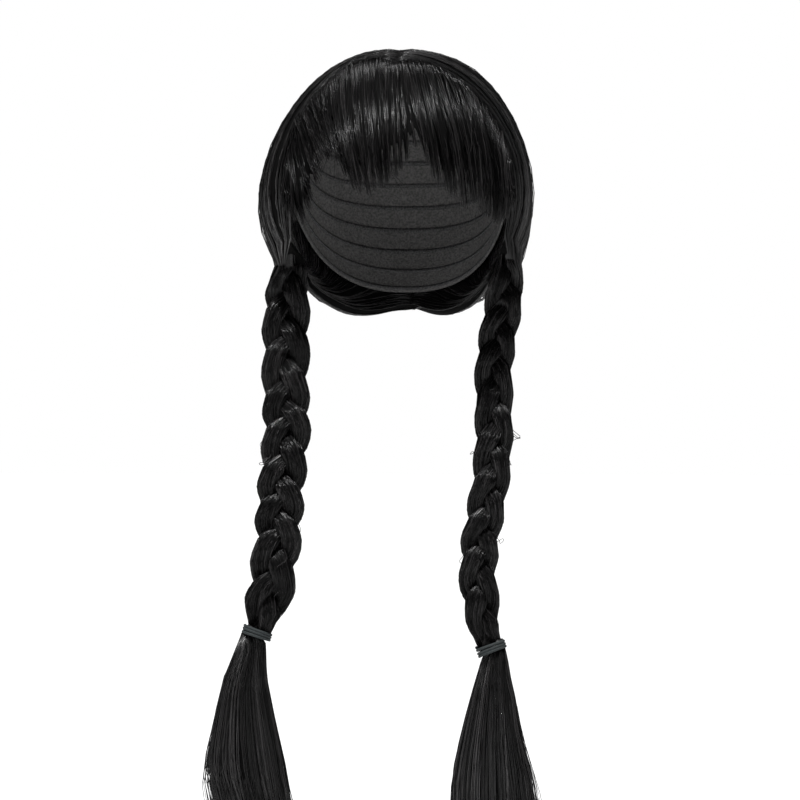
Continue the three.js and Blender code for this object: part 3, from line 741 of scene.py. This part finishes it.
def hair_half(side, rng):
    """One half of the hair: an underlayer, and fibres from the parting into the plait."""
    depths = hair_depths(side)
    fibres = hair_fibres(side, depths, rng)
    joined(f"hair_{side}_under", [hair_underlayer(side, depths)], UNDERLAYER, "hair", f"hair_{side}")
    joined(f"hair_{side}_fibres", [fibres], FIBRES, "hair")


# The fringe


def band_way(root):
    """Where the fringe is sewn, under the front edge of the hair."""
    edge = np.where(
        (root < 0)[..., None],
        flow_way("right", np.abs(root) * BAND_REACH, 0 * root),
        flow_way("left", np.abs(root) * BAND_REACH, 0 * root),
    )
    edge[..., 1] -= BAND_SET_FORWARD / HEAD[1]
    return unit(edge)


def fringe_points(root, azimuth, polar, share, depth):
    start = band_way(root)
    tip = direction(azimuth, polar)
    bend = mix(start, tip, 0.45)
    bend[..., 1] -= 0.16
    s = share[..., None]
    way = unit(start * (1 - s) ** 2 + bend * 2 * s * (1 - s) + tip * s**2)
    lift = FRINGE_LIFT * ease(0.3, 1, share)
    distance = head_reach(way) + UNDER_HAIR + FRINGE_THICKNESS * depth + lift
    return CENTRE + way * distance[..., None], way


def fringe_fibres(rng):
    """Fibres of the fringe, whose ends gather into many small pointed locks."""
    count, points, locks = 2350, 10, FRINGE_LOCKS
    root = np.sort(rng.uniform(-1.04, 1.04, count))
    past_end = (np.abs(root) > 1) * np.sign(root) * rng.uniform(-9, 2, count)
    root = np.clip(root, -1, 1)
    full = along(FRINGE_TIPS, "full", root)
    place = (root + 1) / 2 * locks
    lock = np.clip(np.round(place + rng.normal(0, 0.18, count) - 0.5), 0, locks - 1).astype(int)
    middle = (lock + 0.5) / locks * 2 - 1 + rng.normal(0, 0.008, locks)[lock]
    offset = (root - middle) * locks / 2
    lock_polar = 2 + rng.normal(0, 1.3, locks)[lock]
    tip_azimuth = along(FRINGE_TIPS, "azimuth", root)
    clumped = along(FRINGE_TIPS, "azimuth", middle) + rng.normal(0, 0.35, count) + past_end
    short_of_tip = 5 * np.abs(offset) ** 1.4 + 3.5 * rng.random(count) ** 3
    tip_polar = along(FRINGE_TIPS, "polar", middle) + lock_polar - short_of_tip
    thin = rng.random(count) > full
    share = spread_points(rng, count, points) * np.where(thin, rng.uniform(0.55, 0.85, count), 1)[:, None]
    wander = waver(rng, count, points, 3)
    tuft = in_tufts(rng, (root + 1) / 2, 420, points, 5)
    aim = mix(tip_azimuth[:, None], clumped[:, None], 0.95 * ease(0.3, 0.95, share)) + 0.6 * wander * share
    wild = rng.random((count, 1)) < 0.02
    aim = aim + wild * rng.normal(0, 8, (count, 1)) * share**2
    relief = 0.05 * waver(rng, count, points, 4) + 0.3 * tuft
    relief = relief + 0.3 * np.cos(2.4 * lock)[:, None] * ease(0.15, 0.5, share)
    relief = relief - 0.5 * np.abs(offset)[:, None] * ease(0.1, 0.4, share)
    calm_at_temples = 1 - 0.8 * ease(0.75, 1, np.abs(root))[:, None]
    depth = rng.uniform(0.02, 1, (count, 1)) ** 0.5 + calm_at_temples * relief
    rooted = root[:, None] + 0 * share
    paths, way = fringe_points(rooted, aim, tip_polar[:, None] + 0 * share, share, depth)
    return fibre_arrays(paths, FIBRE * rng.uniform(0.75, 1.15, count), way, lock_tone(rng, lock, count))


def fringe_underlayer():
    """A dark sheet under the fringe, which ends short of the tips with a scallop for each lock."""
    rows, columns = 30, 4 * FRINGE_LOCKS
    share, root = np.meshgrid(np.linspace(0, 1, rows), np.linspace(-0.99, 0.99, columns), indexing="ij")
    reach = 0.3 + 0.55 * ease(0.4, 0.9, along(FRINGE_TIPS, "full", root))
    reach = reach - 0.06 * np.cos(np.pi * FRINGE_LOCKS * (root + 1))
    share = share * reach
    azimuth, polar = (along(FRINGE_TIPS, column, root) for column in ("azimuth", "polar"))
    taper = ease(1, 0.6, share / 0.9)
    outer, _ = fringe_points(root, azimuth, polar, share, mix(0.3, 0.65, taper))
    inner, _ = fringe_points(root, azimuth, polar, share, mix(0.28, 0.08, taper))
    return sheet_arrays(outer, inner)


def fringe(rng):
    """The fringe: an underlayer and a sheet of fibres."""
    fibres = fringe_fibres(rng)
    joined("fringe_under", [fringe_underlayer()], UNDERLAYER, "hair", "fringe")
    # The fringe's fibres take the shaded copy of the hair, whose darker colour is painted shade.
    joined("fringe_fibres", [fibres], SHADED_FIBRES, "hair")


# The tails


class TailRoom:
    """The room that a tail fills: its middle and its reach each way, at each level of its CAD node."""

    def __init__(self, side):
        column = Column([f"tail_{side}"], levels=60, angles=16, smooth=0)
        boxes = blurred(column.boxes, 2, axes=(0,))
        low, high = boxes[:, :2], boxes[:, 2:]
        half = (high - low) / 2
        widest = half[: len(half) * 3 // 4].max(0)
        self.places = np.linspace(0, 1, len(low))
        self.middle = (low + high) / 2
        self.reach = np.maximum(half, widest * ease(0.3, 0.8, self.places)[:, None])
        self.top = column.heights[0]
        self.length = column.heights[0] - column.heights[-1]

    def at(self, share, u, v):
        """Points at a share of the way down, with u across and v front to back, from -1 to 1."""
        x, y = (
            np.interp(share, self.places, self.middle[:, axis])
            + offset * np.interp(share, self.places, self.reach[:, axis])
            for axis, offset in ((0, u), (1, v))
        )
        return np.stack([x, y, self.top - share * self.length], -1)


def tail_fibres(side, room, rng):
    """Straight fibres that spread below the elastic and gather into ragged locks."""
    count, points, locks = 1250, 8, 130
    turn = rng.uniform(0, 2 * np.pi, locks)
    out = np.sqrt(rng.uniform(0.05, 1, locks))
    lock_u, lock_v = out * np.cos(turn), out * np.sin(turn)
    lock_end = rng.uniform(0.8, 1.0, locks)
    turn = rng.uniform(0, 2 * np.pi, count)
    out = rng.uniform(0.3, 1, count) ** 0.4
    u, v = out * np.cos(turn), out * np.sin(turn)
    near = np.hypot(u[:, None] - lock_u, v[:, None] - lock_v).argmin(1)
    end = lock_end[near] * (1 - 0.14 * rng.random(count) ** 1.5)
    wisp = rng.random(count) < 0.08
    end = np.where(wisp, end * rng.uniform(0.7, 0.9, count), end)
    share = (1.03 * spread_points(rng, count, points) - 0.03) * end[:, None]
    pull = 0.55 * ease(0.15, 1.0, share)
    flare = 1 + 0.5 * ((u * SIDES[side] > 0.3) * rng.random(count) ** 3)[:, None] * ease(0.25, 0.9, share)
    uu = mix(u[:, None], lock_u[near][:, None], pull) * flare + 0.05 * waver(rng, count, points, 3) * share
    vv = mix(v[:, None], lock_v[near][:, None], pull) + 0.05 * waver(rng, count, points, 3) * share
    inset = 0.97
    paths = room.at(share, uu * inset, vv * inset)
    outwards = np.broadcast_to(np.stack([u, v, 0 * u], -1)[:, None], paths.shape)
    thickness = 1.1 * FIBRE * rng.uniform(0.85, 1.3, count)
    return fibre_arrays(paths, thickness, outwards, lock_tone(rng, near, count))


def tail_underlayer(room):
    """A dark core in the tail, which tapers away above the ends of the fibres."""
    share = np.linspace(0, 0.82, 26)[:, None]
    angle = np.linspace(0, 2 * np.pi, 22, endpoint=False)[None, :]
    swell = 0.82 * np.sqrt(1 - 0.98 * ease(0.55, 0.83, share)) * (1 + 0.06 * np.cos(5 * angle + 3 * share))
    return loft_arrays(room.at(share + 0 * angle, swell * np.cos(angle), swell * np.sin(angle)))


def tail(side, rng):
    """The loose end of a pigtail below the elastic."""
    room = TailRoom(side)
    fibres = tail_fibres(side, room, rng)
    joined(f"tail_{side}_under", [tail_underlayer(room)], UNDERLAYER, "hair", f"tail_{side}")
    joined(f"tail_{side}_fibres", [fibres], FIBRES, "hair")


# The elastics and the cap


def elastic(side):
    """A covered elastic cord wound round the end of the plait, on the axis of its CAD node."""
    corners = triangles_of(f"elastic_{side}").reshape(-1, 3)
    middle = (corners.min(0) + corners.max(0)) / 2
    _, _, axes = np.linalg.svd(corners - corners.mean(0), full_matrices=False)
    wide, deep, axis = axes
    half_wide, half_deep = (np.ptp(corners @ way) / 2 for way in (wide, deep))
    wire, turns, steps, sides = 1.0 * MM, 3.0, 170, 10
    inset, pitch, unevenness = 1.7 * wire, 2.1 * wire, 0.25 * wire
    wound = np.linspace(-0.5, 0.5, steps)
    angle = 2 * np.pi * turns * wound
    rise = pitch * turns * wound + unevenness * np.sin(angle * 0.7)
    path = (
        middle
        + np.outer((half_wide - inset) * np.cos(angle), wide)
        + np.outer((half_deep - inset) * np.sin(angle), deep)
        + np.outer(rise, axis)
    )
    outwards = np.outer(np.cos(angle), wide) + np.outer(np.sin(angle), deep)
    around = np.linspace(0, 2 * np.pi, sides, endpoint=False)
    rings = path[:, None] + wire * (
        np.cos(around)[None, :, None] * outwards[:, None] + np.sin(around)[None, :, None] * axis
    )
    joined(f"elastic_{side}_cord", [loft_arrays(rings)], ELASTIC, "elastic", f"elastic_{side}")


def cap_rim(azimuth):
    """The polar angle of the cap's rim at each azimuth, found by halving and then smoothed."""
    tree = tree_of("cap")
    rim = np.zeros(len(azimuth))
    for i, angle in enumerate(azimuth):
        low, high = 20.0, 170.0
        while high - low > 0.2:
            middle = (low + high) / 2
            hit = tree.ray_cast(Vector(CENTRE), Vector(direction(angle, middle)))[3]
            low, high = (middle, high) if hit is not None else (low, middle)
        rim[i] = low
    for _ in range(3):
        rim = (np.roll(rim, 1) + 2 * rim + np.roll(rim, -1)) / 4
    return rim


def cap_layer(azimuth, rim, share, outer_height, inner_height):
    """A closed layer of the dome between two heights over the head, at shares of the way to the rim."""
    way = direction(np.broadcast_to(azimuth, (len(share), len(azimuth))), rim[None, :] * share[:, None])
    faces = []
    for height in (outer_height, inner_height):
        grid = CENTRE + way * (head_reach(way) + height)[..., None]
        faces.append(np.concatenate([grid, grid[:, :1]], 1))
    return sheet_arrays(*faces)


def cap():
    """The net cap: a smooth thin dome with the rim of its CAD node, and level rows of stitching in it."""
    azimuth = np.linspace(0, 360, 96, endpoint=False)
    rim = cap_rim(azimuth)
    net = cap_layer(azimuth, rim, np.linspace(0.01, 1, 40), 1.2 * MM, 0)
    joined("cap_net", [net], NET, "cap", "cap")
    half_row = 1.3 * MM / (HEAD[2] * 2)
    wefts = []
    for level in np.append(np.arange(0.16, 0.97, 0.075), 0.985):
        edges = np.array([level - half_row, level + half_row])
        wefts.append(cap_layer(azimuth, rim, edges, 0.2 * MM, -0.7 * MM))
    joined("cap_wefts", wefts, WEFT, "cap")


# The set


def area_light(name, place, target, size, power):
    data = bpy.data.lights.new(name, "AREA")
    data.shape = "RECTANGLE"
    data.size, data.size_y = size
    data.energy = power
    light = bpy.data.objects.new(name, data)
    light.location = place
    light.rotation_euler = (Vector(target) - Vector(place)).to_track_quat("-Z", "Y").to_euler()
    bpy.context.scene.collection.objects.link(light)


def paper_floor():
    """A wide pale floor."""
    floor, half = -0.64, 14.0
    mesh = bpy.data.meshes.new("floor")
    corners = [(-half, -half, floor), (half, -half, floor), (half, half, floor), (-half, half, floor)]
    mesh.from_pydata(corners, [], [(0, 1, 2, 3)])
    material, _, bsdf = shader("floor_paper", 0.9)
    bsdf.inputs["Base Color"].default_value = (0.88, 0.88, 0.88, 1)
    mesh.materials.append(material)
    piece = bpy.data.objects.new("floor", mesh)
    bpy.context.scene.collection.objects.link(piece)


def backdrop():
    """A background that is white where it is seen and gives only a weak light."""
    world = bpy.data.worlds.new("studio")
    world.use_nodes = True
    tree = world.node_tree
    background = tree.nodes["Background"]
    background.inputs["Color"].default_value = (1, 1, 1, 1)
    seen = tree.nodes.new("ShaderNodeLightPath")
    strength = tree.nodes.new("ShaderNodeMapRange")
    strength.inputs["To Min"].default_value = 0.04
    strength.inputs["To Max"].default_value = 1.0
    tree.links.new(seen.outputs["Is Camera Ray"], strength.inputs["Value"])
    tree.links.new(strength.outputs["Result"], background.inputs["Strength"])
    bpy.context.scene.world = world


def lamps():
    """A high soft key light, and weak lights at the front, the side and the back."""
    target = Vector((0, 0, -0.15))
    key = bpy.data.lights.new("key", "SUN")
    key.energy = 4.6
    key.angle = math.radians(5)
    lamp = bpy.data.objects.new("key", key)
    lamp.rotation_euler = Vector((0.06, 0.31, -0.95)).to_track_quat("-Z", "Y").to_euler()
    bpy.context.scene.collection.objects.link(lamp)
    area_light("fill", (0.9, -1.6, 0.2), target, (0.3, 0.3), 3)
    area_light("side", (-1.2, -1.3, 0.1), target, (0.3, 0.3), 3)
    area_light("top", (0.1, 0.9, 1.2), target, (0.4, 0.3), 6)


def studio():
    paper_floor()
    backdrop()
    lamps()
    bpy.context.scene.view_settings.view_transform = "Standard"


def camera():
    """The photographed view: from the front, a little to the wearer's left, through a long lens."""
    azimuth, distance, view_width = math.radians(6), 2.1, 0.56
    data = bpy.data.cameras.new("camera")
    data.sensor_width = 36
    data.lens = 36 * distance / view_width
    eye = bpy.data.objects.new("camera", data)
    sideways = Vector((math.cos(azimuth), math.sin(azimuth), 0))
    ahead = Vector((-math.sin(azimuth), math.cos(azimuth), 0))
    target = Vector((0, 0, -0.235)) + sideways * 0.002
    eye.location = target - ahead * distance
    eye.rotation_euler = ahead.to_track_quat("-Z", "Y").to_euler()
    bpy.context.scene.collection.objects.link(eye)
    bpy.context.scene.camera = eye


camera()
studio()
rng = np.random.default_rng(7)
cap()
fringe(rng)
for side in SIDES:
    hair_half(side, rng)
    for k in STRANDS:
        plait_strand(side, k, rng)
    stray_curls(side, rng)
    elastic(side)
    tail(side, rng)
